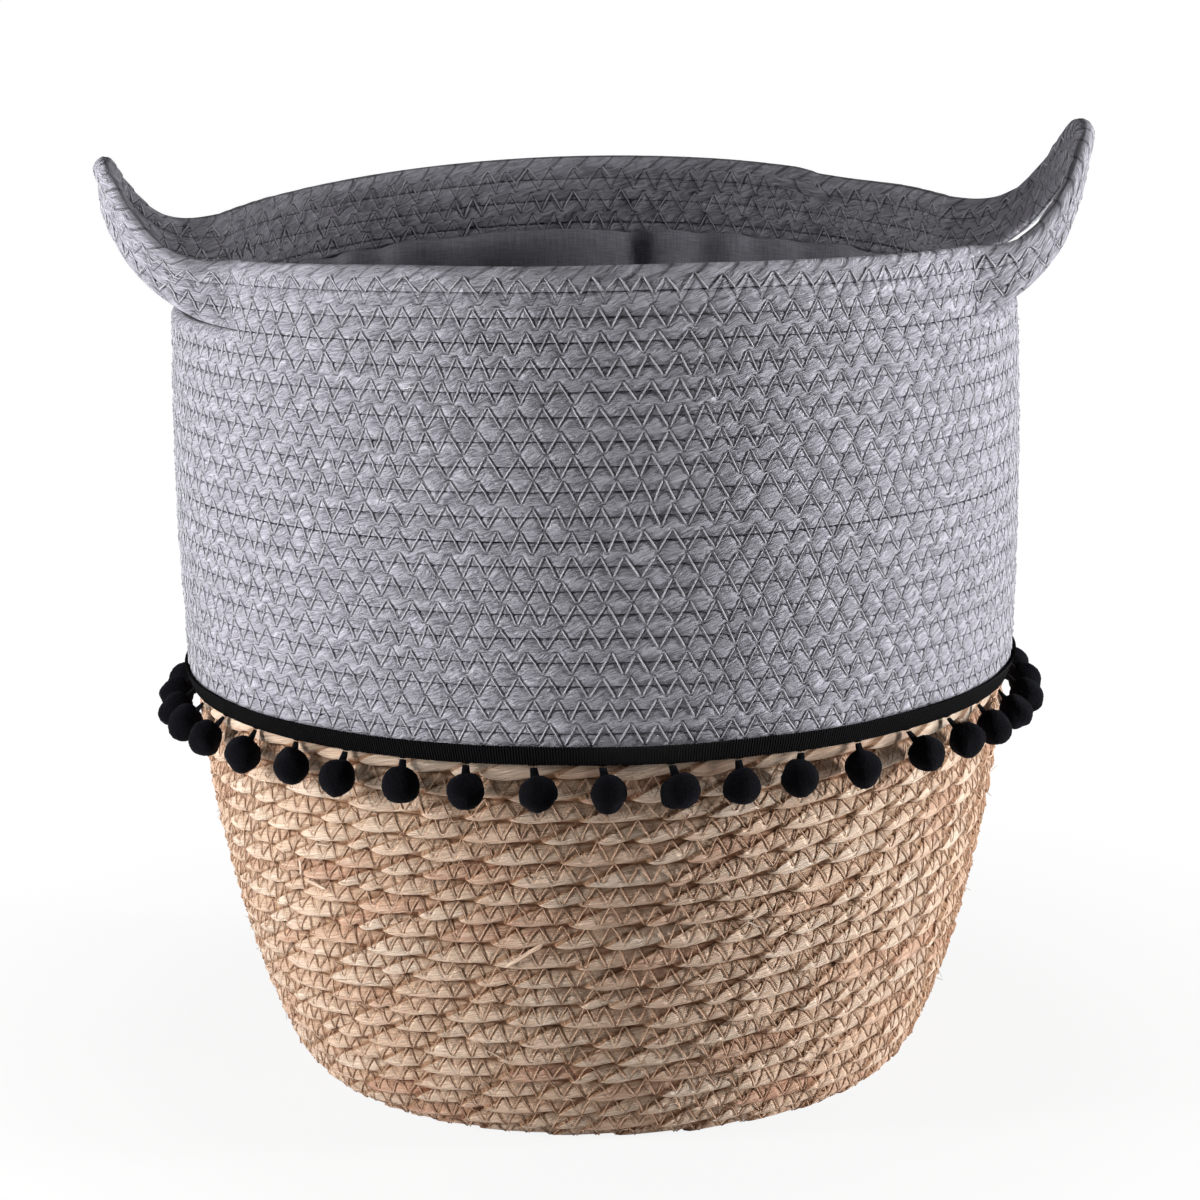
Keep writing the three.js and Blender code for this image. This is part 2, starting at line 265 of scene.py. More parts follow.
# Mesh making
def net(name, across, up, place, maps, strips=1, close_ends=False, ends=None):
    """A piece made of strips of across by up faces, joined where edges meet. place(u, v, k) puts the
    points of strip k, with u and v from 0 to 1. maps(u, v, k, fu, fv) gives the UV maps of its face
    corners, fu and fv being the middle of the face. ends cuts each strip off at a share of its length."""
    lines = strips * (up + 1) - 1
    bm = bmesh.new()
    bmesh.ops.create_grid(bm, x_segments=across, y_segments=lines, size=0.5)
    if strips > 1:
        surplus = []
        for face in bm.faces:
            middle = face.calc_center_median()
            strip, line = divmod(round((middle.y + 0.5) * lines + 0.5), up + 1)
            if line == 0 or (ends is not None and middle.x + 0.5 > ends[strip]):
                surplus.append(face)
        bmesh.ops.delete(bm, geom=surplus, context="FACES")
    mesh = bpy.data.meshes.new(name)
    bm.to_mesh(mesh)
    bm.free()
    flat = np.empty(len(mesh.vertices) * 3)
    mesh.vertices.foreach_get("co", flat)
    flat = flat.reshape(-1, 3)
    u = np.round((flat[:, 0] + 0.5) * across) / across
    line = np.round((flat[:, 1] + 0.5) * lines)
    k, v = (line // (up + 1)).astype(int), line % (up + 1) / up
    corner = np.empty(len(mesh.loops), int)
    mesh.loops.foreach_get("vertex_index", corner)
    sides = corner.reshape(-1, 4)
    fu, fv = (np.repeat(share[sides].mean(1), 4) for share in (u, v))
    for layer, (x, y) in maps(u[corner], v[corner], k[corner], fu, fv).items():
        uv = mesh.uv_layers.new(name=layer)
        uv.data.foreach_set("uv", np.stack([x, y], 1).astype(np.float32).ravel())
    mesh.vertices.foreach_set("co", (place(u, v, k) * MM).astype(np.float32).ravel())
    bm = bmesh.new()
    bm.from_mesh(mesh)
    bmesh.ops.remove_doubles(bm, verts=[p for p in bm.verts if p.is_boundary], dist=2e-6)
    if close_ends:
        bmesh.ops.holes_fill(bm, edges=[e for e in bm.edges if e.is_boundary], sides=0)
    bmesh.ops.recalc_face_normals(bm, faces=bm.faces)
    return finished(name, bm, mesh)


def finished(name, bm, mesh=None):
    """The smooth piece that a bmesh becomes"""
    mesh = mesh or bpy.data.meshes.new(name)
    bm.to_mesh(mesh)
    bm.free()
    mesh.shade_smooth()
    piece = bpy.data.objects.new(name, mesh)
    bpy.context.scene.collection.objects.link(piece)
    return piece


def dress(piece, finish, node=None, body="basket"):
    piece.data.materials.append(finish)
    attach(piece, body)
    if node:
        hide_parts(node)


# Rows, threads and weaves
ROW_HEIGHT = 9.8
INSIDE_ROWS = 40  # added to the row in the UV map where a face looks inwards
GREY_STITCH, STRAW_STITCH = 10.5, 9.3  # mean width of a zigzag
GREY_THREAD, STRAW_THREAD = 0.34, 0.31  # radius
GREY_REACH = 0.47  # rows that a zigzag reaches to both sides of its seam
STRAW_REACH = (-0.76, 0.03)  # rows from a seam to the lower and upper corners of its zigzag
NO_THREAD = 0.7  # rows from a seam at which the finishes show no thread
SEAM_SHIFT = 1.7  # angle by which a zigzag starts further round than the one below
RIB_PITCH, YARN_PITCH = 1.15, 0.85  # of the ribbon and of the lining's weave


# Finishes
def srgb(*values):
    """Colour as a paint chart gives it, 0 to 255"""
    return tuple(((c / 255 + 0.055) / 1.055) ** 2.4 if c > 10 else c / 255 / 12.92 for c in values) + (1,)


def reckoning(operation):
    return lambda self, other=None: self.nodes.node("Math", self, other, operation=operation)


class Wire:
    """A value that a node gives, which can be reckoned with like a number"""

    def __init__(self, nodes, socket):
        self.nodes, self.socket = nodes, socket

    def __rsub__(self, other):
        return self.nodes.node("Math", other, self, operation="SUBTRACT")

    __add__, __sub__, __mul__, __pow__ = map(reckoning, ("ADD", "SUBTRACT", "MULTIPLY", "POWER"))
    __lt__, __gt__, __abs__ = map(reckoning, ("LESS_THAN", "GREATER_THAN", "ABSOLUTE"))


class Nodes:
    """The nodes of a material or a world"""

    def __init__(self, owner):
        owner.use_nodes = True
        self.tree = owner.node_tree
        self.tree.nodes.clear()

    def put(self, socket, value):
        if isinstance(value, Wire):
            self.tree.links.new(value.socket, socket)
        elif value is not None:
            socket.default_value = value

    def node(self, kind, *values, out=0, **settings):
        """Adds a node with values for its inputs, in their order; None leaves one as it is"""
        made = self.tree.nodes.new("ShaderNode" + kind)
        for key, value in settings.items():
            setattr(made, key, value)
        for socket, value in zip(made.inputs, values):
            self.put(socket, value)
        return Wire(self, made.outputs[out]) if made.outputs else None

    def end(self, kind, met, seen):
        """The light meets one shader and the camera sees the other"""
        ray = self.node("LightPath", out="Is Camera Ray")
        self.node("Output" + kind, self.node("MixShader", ray, met, seen))


class Finish(Nodes):
    """A material under the brush: each method gives the value to go on from"""

    def __init__(self, name, roughness, gloss, sheen=0.0, tint=(1, 1, 1, 1)):
        self.material = bpy.data.materials.new(name)
        super().__init__(self.material)
        skin = self.node("BsdfPrincipled")
        self.looks = skin.socket.node.inputs
        for key, value in (("Roughness", roughness), ("Specular IOR Level", gloss),
                           ("Sheen Weight", sheen), ("Sheen Tint", tint)):
            self.looks[key].default_value = value
        self.node("OutputMaterial", skin)

    def maths(self, operation, a, b=None):
        return self.node("Math", a, b, operation=operation)

    def uv(self, layer):
        x = self.node("SeparateXYZ", self.node("UVMap", uv_map=layer))
        return x, Wire(self, x.socket.node.outputs[1])

    def noise(self, *at, scale=1.0, detail=2, roughness=0.5):
        """Noise at a place that is given as one vector, or as x, y and z"""
        vector = at[0] if len(at) == 1 else self.node("CombineXYZ", *at)
        return self.node("TexNoise", vector, None, scale, detail, roughness)

    def spread(self, value, low, high, to_low=0.0, to_high=1.0):
        """A value between low and high becomes one between to_low and to_high, clamped"""
        return self.node("MapRange", value, low, high, to_low, to_high, clamp=True,
                         interpolation_type="SMOOTHSTEP")

    def fade(self, value, low, high):
        """1 below low, 0 above high"""
        return self.spread(value, low, high, 1.0, 0.0)

    def ramp(self, value, *stops):
        """Each stop is a value, and the red, green and blue that it gets"""
        colour = self.node("ValToRGB", value)
        marks = colour.socket.node.color_ramp.elements
        while len(marks) < len(stops):
            marks.new(0.5)
        for mark, (position, *shade) in zip(marks, stops):
            mark.position = position
            mark.color = srgb(*shade)
        return colour

    def mix(self, share, a, b, blend="MIX"):
        return self.node("Mix", share, *[None] * 5, a, b, out=2, data_type="RGBA", blend_type=blend)

    def shade(self, colour, *values):
        """Colour times a value for its red, one for its green and one for its blue"""
        return self.mix(1.0, colour, self.node("CombineColor", *values), "MULTIPLY")

    def done(self, colour, relief, depth):
        """The material, with this colour and a relief of which 1 stands for depth"""
        self.put(self.looks["Base Color"], colour)
        self.put(self.looks["Normal"], self.node("Bump", 1.0, depth * MM, None, relief))
        return self.material


def grey_rope_finish():
    """Twisted grey paper: soft diagonal folds, fine crinkles, and creases where the thread bites"""
    f = Finish("grey paper rope", 0.6, gloss=0.22)
    x, y = f.uv("rope")  # millimetres along the rope, rows upwards
    sx, sy = f.uv("stitch")  # zigzags along the nearest seam, rows from it
    up = y * ROW_HEIGHT
    lean = x + up * 0.35
    bent = up - x * 0.34 + f.noise(x * 0.06, y) * 7
    folds = f.noise(lean * 0.07, bent * 0.62, detail=3, roughness=0.55)
    crinkle = f.noise(lean * 0.16, bent * 1.5, detail=4, roughness=0.6)
    grain = f.noise(lean * 0.5, bent * 3.2, detail=3, roughness=0.6)
    pillow = f.noise(x * 0.16, up * 0.2)
    # thin creases where the paper is folded over, dented in the relief and darkened with painted shade
    sheet = f.noise(lean * 0.12, bent * 0.75, 5)
    crease = f.fade(abs(sheet - 0.5), 0, 0.022) * f.spread(pillow, 0.35, 0.55)
    # the zigzag beside this point: how far the middle line of the nearest leg is, in millimetres
    turns = f.maths("FRACT", sx)
    turn = turns * 2 - 1
    aside = ((abs(turn) - 0.5) * (2 * GREY_REACH) - sy) * 4.8
    right = aside * f.maths("SIGN", turn)
    away = abs(aside)
    used = abs(sy) < 0.5
    dent = f.fade(away, 0.2, 2.4) * used
    # painted shadow: a dark line beside each thread leg; painted shade in the needle hole at each corner,
    # whose dent is also in the relief
    shadow = f.spread(right, 0.2, 0.45) * f.fade(right, 0.6, 1) * used
    hole = f.fade(away, 0.3, 1.1) * f.spread(abs(sy), 0.4, GREY_REACH) * used
    # painted shade: dark lines in the seams, and between the twists of the free top row
    twist = f.spread(turns, 0.78, 0.95) * f.fade(turns, 0.95, 1) * (sy > 0.6)
    slit = f.maths("MAXIMUM", f.fade(abs(sy), 0.012, 0.04), twist)
    relief = folds * 2.4 + crinkle * 1.7 + grain * 0.5 + pillow * 0.8 - dent - hole * 0.5 - crease * 0.45
    tone = folds * 0.5 + crinkle * 0.5
    colour = f.ramp(tone, (0.34, 126, 124, 134), (0.5, 180, 178, 188), (0.66, 206, 204, 214))
    colour = f.mix((y > INSIDE_ROWS - 10) * 0.3, colour, srgb(96, 95, 101))  # painted shade: the inner face is darker
    # painted shade: the shadow lines, seam and twist lines, needle holes and creases above, multiplied into
    # the colour
    painted_shade = (1 - shadow * 0.65) * (1 - slit * 0.6) * (1 - hole * 0.6) * (1 - crease * 0.35)
    return f.done(f.shade(colour, painted_shade, painted_shade, painted_shade), relief, 0.84)


def straw_finish():
    """Dried rush: each strand has its own tone, with fibres that run along it"""
    f = Finish("dried straw", 0.55, gloss=0.3)
    along, beside = f.uv("fibre")  # millimetres along and across the strand
    tone, rise = f.uv("strand")  # tone of the strand, share of the row's height
    ahead, _ = f.uv("lens")  # share of the strand's length
    sx, sy = f.uv("stitch")  # zigzags along the seam above, rows from it
    turn = f.maths("FRACT", sx) * 2 - 1
    low, high = STRAW_REACH
    aside = (abs(turn) * (high - low) + low - sy) * 5
    right = aside * f.maths("SIGN", turn)
    used = (sy > low - 0.06) * (sy < high + 0.03)
    dent = f.fade(abs(aside), 0.2, 1.7) * used
    # painted shadow: a dark line beside each thread leg
    shadow = f.spread(right, 0.15, 0.45) * f.fade(right, 0.7, 1.2) * used
    fine = f.noise(along * 0.07, beside * 2.2, detail=3, roughness=0.6)
    broad = f.noise(along * 0.05, beside * 0.6)
    blotch = f.noise(along * 0.06, beside * 0.2, 7, detail=3)
    colour = f.ramp(tone * 0.5 + broad * 0.5, (0.14, 182, 126, 104), (0.3, 215, 173, 147),
                    (0.45, 228, 196, 170), (0.62, 232, 205, 181), (0.85, 235, 215, 196))
    colour = f.mix(f.spread(blotch, 0.58, 0.76, 0, 0.4), colour, srgb(196, 142, 118))
    streak = f.spread(fine, 0.34, 0.6, 0.7, 1.12)
    # painted shade: darker towards the thread above and beside its legs, under each lip, and where one
    # strand meets the next; streak is the fibres' own tone
    painted_recess_shade = f.spread(rise, 0.4, 0.8, 1.06, 0.84) * f.spread(rise, 0.8, 0.97, 1, 0.24) * (1 - shadow * 0.4)
    under = f.spread(rise, 0.02, 0.1, 0.4, 1)
    painted_edge_shade = f.spread(ahead, 0.8, 0.985, 1, 0.35) * f.spread(ahead, 0, 0.03, 0.5, 1)
    value = streak * painted_recess_shade * (under * painted_edge_shade)
    # where painted shade darkens it, it is browner too
    colour = f.shade(colour, value ** 0.74, value, value ** 1.25)
    return f.done(colour, fine * 1.6 + broad * 1.4 - dent, 0.9)


def thread_finish(name, roughness, gloss, wear, detail, worn, fresh):
    """Twisted sewing thread whose colour changes along it"""
    f = Finish(name, roughness, gloss)
    x, y = f.uv("rope")
    colour = f.ramp(f.noise(x * wear, y, detail=detail), (0.35, *worn), (0.65, *fresh))
    return f.done(colour, f.maths("SINE", x * 9 + y * tau), 0.06)


def lint_finish():
    f = Finish("pale lint", 0.8, gloss=0.1)
    x, y = f.uv("rope")
    fluff = f.noise(x * 1.2, y)
    return f.done(f.ramp(fluff, (0.3, 206, 204, 206), (0.7, 242, 240, 240)), fluff, 0.3)


def ribbon_finish():
    f = Finish("black ribbed ribbon", 0.75, gloss=0.08)
    x, y = f.uv("rope")
    rib = f.maths("SINE", x * (tau / RIB_PITCH))
    weave = f.noise(x * 1.2, y * 4)
    colour = f.ramp(rib * 0.16 + weave, (0.32, 2, 2, 4), (0.7, 10, 10, 13))
    return f.done(colour, rib + weave * 0.6, 0.7)


def pile_finish():
    f = Finish("black pile", 0.9, gloss=0.06, sheen=0.1, tint=srgb(120, 122, 140))
    tufts = f.noise(f.node("TexCoord", out="Object"), scale=1500, detail=3, roughness=0.65)
    return f.done(f.ramp(tufts, (0.35, 3, 3, 5), (0.7, 13, 13, 17)), tufts, 0.5)


def cloth_finish():
    """Plain linen weave with thick and thin yarns"""
    f = Finish("grey linen", 0.85, gloss=0.2, sheen=0.1)
    x, y = f.uv("rope")
    uneven = f.noise(x * 0.12, y * 1.6, detail=3)
    upright = f.noise(x * 1.6, y * 0.1, detail=3)
    weave = f.maths("SINE", x * (tau / YARN_PITCH)) * f.maths("SINE", y * (tau / YARN_PITCH))
    colour = f.ramp(uneven * 0.5 + upright * 0.5 + weave * 0.06,
                    (0.32, 122, 122, 131), (0.5, 148, 148, 157), (0.68, 172, 172, 181))
    return f.done(colour, weave * 0.5 + (uneven + upright), 0.35)


grey_rope = grey_rope_finish()
grey_thread = thread_finish("grey sewing thread", 0.5, 0.4, 0.3, 2, (152, 152, 158), (188, 188, 194))
straw = straw_finish()
straw_thread = thread_finish("brown sewing thread", 0.55, 0.3, 0.2, 3, (160, 124, 100), (204, 172, 146))
pale_lint = lint_finish()
ribbon_black = ribbon_finish()
pile_black = pile_finish()
grey_linen = cloth_finish()


# Stitches
def zigzags(row, width, radius):
    """Angles at which the zigzags of one seam start, unevenly sewn"""
    count = round(tau * radius / width)
    dice = np.random.default_rng(900 + int(row * 10) + int(width * 100))
    drift = 0.1 * np.sin(np.linspace(0, 9 * tau, count) + row * 2.1)
    sizes = 1 + dice.uniform(-0.14, 0.14, count) + drift
    marks = np.concatenate([[0], np.cumsum(sizes)])
    return marks / marks[-1] * tau


def stitch_phase(a, seam, width, radius):
    """How many zigzags of a seam lie between its start and angle a"""
    shift = seam * SEAM_SHIFT
    marks = zigzags(seam, width, radius)
    turns = np.floor((a - shift) / tau)
    inside = (a - shift) - turns * tau
    return np.interp(inside, marks, np.arange(len(marks))) + turns * (len(marks) - 1)


def stitch_angle(phase, seam, width, radius):
    marks = zigzags(seam, width, radius)
    count = len(marks) - 1
    turns = np.floor(phase / count)
    return np.interp(phase - turns * count, np.arange(count + 1), marks) + turns * tau + seam * SEAM_SHIFT


def thread(name, seams, width, radius_of, point, height, sunk, thick, arc=None, stray=0.07):
    """Zigzag thread over several seams, all round or along an arc: height gives the rows from the seam
    to its lower and upper corners, sunk(a, w, tip) how deep its middle lies below point(a, w, 0), and
    stray how unevenly its corners are set, in rows"""
    seams = np.array(seams, float)
    shares = np.array((0, 0.07, 0.25, 0.43, 0.5, 0.57, 0.75, 0.93))  # stations on one zigzag
    stations = len(shares)
    starts = np.zeros(len(seams))
    counts = np.array([len(zigzags(s, width, radius_of(s))) - 1 for s in seams])
    if arc is not None:
        limits = [stitch_phase(np.array(arc), s, width, radius_of(s)) for s in seams]
        starts = np.array([np.ceil(low) for low, high in limits])
        counts = np.array([int(np.floor(high) - np.ceil(low)) for low, high in limits])
    across = int(counts.max() * stations)
    uneven = np.random.default_rng(31).uniform(-stray, stray, (len(seams), 2 * counts.max() + 3))

    def run(step, k):
        """Angle, row and rise of the thread's middle at one of its stations"""
        turn = np.floor(step / stations)
        phase = turn + shares[(step - turn * stations).astype(int)]
        rise = 1 - np.abs(2 * (phase % 1) - 1)
        corner = whole(2 * phase) % (2 * counts.max())
        part = 2 * phase - np.floor(2 * phase)
        nudge = uneven[k, corner] * (1 - part) + uneven[k, corner + 1] * part
        phase = phase + starts[k]
        a = np.zeros_like(phase)
        for i, seam in enumerate(seams):
            mine = k == i
            a[mine] = stitch_angle(phase[mine], seam, width, radius_of(seam))
            if seam > HANDLE_ROW:
                a[mine] = rim_angle(a[mine])
        w = seams[k] + height[0] + (height[1] - height[0]) * (1 - rise) + nudge
        return a, w, rise

    def place(u, v, k):
        step = np.round(u * across)
        (a1, w1, _), (a, w, rise), (a2, w2, _) = (run(step + n, k) for n in (-1, 0, 1))
        depth = sunk(a, w, np.abs(2 * rise - 1))
        middle = point(a, w, depth)
        along = unit(point(a2, w2, depth) - point(a1, w1, depth))
        out = unit(point(a, w, depth - 1.0) - middle)
        side = np.cross(along, out)
        turn = v * tau
        return middle + thick * (out * np.cos(turn)[:, None] + side * np.sin(turn)[:, None])

    def maps(u, v, k, fu, fv):
        return {"rope": (u * across * width / stations, v)}

    return net(name, across, 5, place, maps, strips=len(seams), close_ends=arc is not None,
               ends=counts * stations / across)


# Grey rope
GREY_COLUMNS = 1000
STEPS_IN_ROW = np.array((0, 0.045, 0.11, 0.3, 0.5, 0.7, 0.89, 0.955))
SEAM_RADIUS, GREY_ROUND = 180, 1131  # radius of the grey seams, and the way round one
SHIFT_INSIDE = 0.7  # the inner face's swell is the outer one's, this much further round


def row_marks(low, high):
    """Row coordinates of the mesh lines between two seams"""
    return np.concatenate([*(row + STEPS_IN_ROW for row in range(low, high)), [high]])


def grey_swell(a, w):
    """How deep the rope's skin lies: soft pillows that bulge most in the middle of each row"""
    near = np.abs(w - np.round(w))
    crown = 0.5 * (1 - 2 * near) ** 3
    x = a / tau * GREY_ROUND
    lean = x - w * 14
    pillow = 0.3 * ripple(x / GREY_ROUND * 150, w * 1.1, 150, 21)
    folds = 0.3 * ripple(lean / GREY_ROUND * 90, w * 2.3, 90, 22)
    return crown - pillow - folds


def rounded(q):
    """Depth of a free edge of the rope, where q runs from 0 at half a row away to 1 at the edge"""
    return ROPE_DEPTH / 2 * (1 - np.sqrt(np.maximum(1 - np.clip(q, 0, 1) ** 2.4, 0)))


def twist_turns(a, w, inside, at):
    """Turns of the free top row: its twisted folds climb to the right, seen from either side"""
    uneven = 0.26 * ripple(a / tau * 40, 0 * a, 40, 31)
    return rim_turn(a) / tau * 98 - (1 - 2 * inside) * (w - at) + uneven


def grey_depth(a, w, inside, low_edge, high_edge):
    """Depth of the grey rope's skin. An edge is None, or its row and how openly it lies at each angle"""
    near = np.abs(w - np.round(w))
    seams = 0.9 * np.exp(-(near / 0.03) ** 2)
    edge = 0 * a
    for side, ends in ((-1, low_edge), (1, high_edge)):
        if ends is not None:
            at, openness = ends
            edge = edge + openness * rounded((side * (w - at) + 0.5) * 2)
            seams = seams * (1 - openness * (np.abs(w - at) < 0.3))
    if high_edge is not None:
        fold = twist_turns(a, w, inside, at) % 1
        twist = 0.9 * (fold ** 2 - 0.35) - 0.9 * ease(0.86, 1.0, fold)
        edge = edge + openness * twist * ease(at - 0.95, at - 0.55, w) * (0.35 + 0.65 * (w < at - 0.01))
    swell = grey_swell(a + inside * SHIFT_INSIDE, w)
    swell = swell + inside * ripple(a / tau * 130 + w * 1.1, w * 1.9, 130, 23)
    return np.minimum(seams + swell * (1 - ease(3.0, 3.9, edge)) + edge, ROPE_DEPTH / 2)


def face_mark(marks, fv):
    """The mark in the middle of a face"""
    i = whole(fv * (len(marks) - 1))
    return (marks[i] + marks[np.minimum(i + 1, len(marks) - 1)]) / 2


def grey_shell(name, node, point, span, columns, low, high, low_edge, high_edge, inner_low=None):
    """Rows of grey rope between two angles: up the outer face, over the top and down the inner one"""
    a_from, a_to = span
    outer = row_marks(low, high)
    inner = outer[::-1] if inner_low is None else np.concatenate(
        [row_marks(inner_low, high)[::-1], np.linspace(max(inner_low - 1, low), low, 4)])
    marks = np.concatenate([outer, inner[1:], [low]])
    faces = np.concatenate([np.zeros(len(outer)), np.ones(len(inner) - 1), [0]])
    up = len(marks) - 1

    def read(u, v):
        i = nearest(v * up)
        return a_from + u * (a_to - a_from), marks[i], faces[i]

    def place(u, v, k):
        a, w, inside = read(u, v)
        edges = (edge and (at, edge(a)) for at, edge in ((low, low_edge), (high, high_edge)))
        depth = grey_depth(a, w, inside, *edges)
        return point(a, w, np.where(inside > 0, ROPE_DEPTH - depth, depth))

    def maps(u, v, k, fu, fv):
        a, w, inside = read(u, v)
        seam = np.round(face_mark(marks, fv))
        phase = np.zeros_like(a)
        for s, mine in each(seam):
            along = rim_turn(a[mine]) if s > HANDLE_ROW else a[mine]
            phase[mine] = stitch_phase(along, s, GREY_STITCH, grey_radius(s))
        away = w - seam
        # no thread beside the free edges, where the twist shows instead
        phase = np.where(seam == ROWS, twist_turns(a, w, inside, ROWS), phase)
        away = np.where((seam == ROWS) | (seam == 0), NO_THREAD, away)
        run = rim_turn(a) * RIM_RADIUS if high == ROWS else a * SEAM_RADIUS
        return {"rope": (run * (1 - 2 * inside), w + inside * INSIDE_ROWS), "stitch": (phase, away)}

    shell = net(name, columns, up, place, maps, close_ends=a_to - a_from < tau - 1e-6)
    dress(shell, grey_rope, node)


def everywhere(a):
    return 0 * a + 1


def make_grey_rope():
    # the lining hides the inner face below row 14
    for name, node, low, high, edge, inner_low in (
            ("grey_belly", "upper_belly", 0, COLLAR_ROW, None, COLLAR_ROW),
            ("grey_collar", "upper_collar", COLLAR_ROW, HANDLE_ROW, at_handle, 14)):
        grey_shell(name, node, grey_point, (0, tau), GREY_COLUMNS, low, high, None, edge, inner_low)
    for node, span, columns in (
            ("handle_right", (RIGHT - HANDLE_HALF + tau, RIGHT + HANDLE_HALF + tau), 160),
            ("rim_back", BACK_ARC, 320),
            ("handle_left", (LEFT - HANDLE_HALF, LEFT + HANDLE_HALF), 160),
            ("rim_front", FRONT_ARC, 320)):
        grey_shell(node + "_rope", node, rim_point, span, columns, HANDLE_ROW, ROWS, at_handle, everywhere)


def sunk_in_grey(a, w, tip):
    return grey_swell(a, w) - 0.2 + 0.9 * ease(0.88, 1, tip)


def sunk_in_grey_back(a, w, tip):
    return ROPE_DEPTH - sunk_in_grey(a + SHIFT_INSIDE, w, tip) - 0.3


def grey_radius(seam):
    return RIM_RADIUS if seam > HANDLE_ROW else SEAM_RADIUS


def make_grey_threads():
    def sew(name, seams, point, sunk, reach=(-GREY_REACH, GREY_REACH), arc=None):
        sewn = thread(name, seams, GREY_STITCH, grey_radius, point, reach, sunk, GREY_THREAD, arc)
        dress(sewn, grey_thread)

    sew("grey_thread_low", range(1, 9), grey_point, sunk_in_grey)
    sew("grey_thread_high", range(9, HANDLE_ROW), grey_point, sunk_in_grey)
    sew("wall_thread_inside", (15, 16), grey_point, sunk_in_grey_back)
    for side, sunk in (("", sunk_in_grey), ("_inside", sunk_in_grey_back)):
        sew("rim_thread_low" + side, (18,), rim_point, sunk)
        sew("rim_thread_high" + side, (19,), rim_point, sunk, reach=(-0.06, 0.62))
        for name, arc in (("back", BACK_ARC), ("front", FRONT_ARC)):
            sew(f"rim_thread_{name}{side}", (HANDLE_ROW,), grey_point, sunk, arc=arc)


# Straw rope
STRAW_COLUMNS = 1000
BASE_COLUMNS = 360
STRAW_LEAN = 20  # how far a strand's upper edge runs along while it climbs one row
LEAN_RADIUS = 165
STRAND_LENGTH = 22
LIP_HANG = 0.17  # how far a strand's lip hangs over the row below, as a share of a row
STRAW_STEPS = np.array((0, 0.05, 0.1, 0.17, 0.26, 0.36, 0.47, 0.58, 0.68, 0.78, 0.87, 0.94))


class Strands:
    """How the mesh columns of one row are shared out among its strands"""

    def __init__(self, row, circumference, columns):
        dice = np.random.default_rng(400 + row)
        cell = circumference / columns
        starts = [0]
        while starts[-1] < columns:
            wide = STRAND_LENGTH * (0.5 + 1.2 * dice.random())
            starts.append(starts[-1] + max(4, round(wide / cell)))
        if len(starts) > 2 and columns - starts[-2] < 5:
            starts.pop(-2)
        starts[-1] = columns
        self.columns = columns
        self.starts = np.array(starts)
        count = len(starts) - 1
        self.tone = dice.beta(2.6, 2.0, count)
        self.lift = dice.uniform(0.4, 1.1, count)
        self.hang = dice.uniform(0.5, 1.3, count)
        self.cell = cell

    def find(self, column):
        """The strand over a column, and how far across it the column lies"""
        column = column % self.columns
        k = np.searchsorted(self.starts, column + 1e-6, side="right") - 1
        return k, (column - self.starts[k]) / (self.starts[k + 1] - self.starts[k])

    def starts_after(self, column):
        """1 where the next column starts a new strand"""
        return np.isin((column + 1) % self.columns, self.starts % self.columns) * 1.0


straw_rows = [Strands(row, tau * straw_outline.point((row + 0.3) / ROWS, 0)[0], STRAW_COLUMNS)
              for row in range(ROWS)]
base_rows = [Strands(60 + row, tau * (row + 0.5) * BASE_RADIUS / BASE_RINGS, BASE_COLUMNS)
             for row in range(BASE_RINGS)]


def strand_run(p):
    """Share of STRAW_LEAN that a strand's edge has run along at share p of the row's height"""
    return p ** 1.5


def shingle(p):
    """Depth of a row: a round lip below, drawn in towards the thread above"""
    return 3.0 * ease(0.34, 1.0, p) + 3.0 * (1 - ease(-0.01, 0.2, p))


def lean_angle(row, p):
    """How far round a strand's edge has run on when it reaches share p of a row"""
    return STRAW_LEAN * (row + strand_run(p)) / LEAN_RADIUS


def straw_radius(seam):
    return float(straw_outline.point(seam / ROWS, 0)[0])


def straw_shape(rows, column, row, p):
    """Depth of the straw, and how far its lip hangs down as a share of a row"""
    depth, hang = np.zeros_like(p), np.zeros_like(p)
    for r, mine in each(row):
        strands = rows[r]
        k, t = strands.find(column[mine])
        q = p[mine]
        lift = strands.lift[k] * (1 - ease(0.6, 1.0, q)) * ease(0.0, 0.1, q)
        fall = lift * (1.5 * (1 - t) ** 1.2 - 0.75)
        ribs = 0.07 * np.sin(q * 46 + 3 * t + k) * (1 - ease(0.7, 1, q))
        depth[mine] = shingle(q) - fall - ribs
        fade = ease(0, 0.06, q) * (1 - ease(0.12, 0.62, q)) * (r % 60 > 0)
        hang[mine] = LIP_HANG * strands.hang[k] * np.sin(1.25 * pi * t ** 0.75) * fade
    return depth, hang


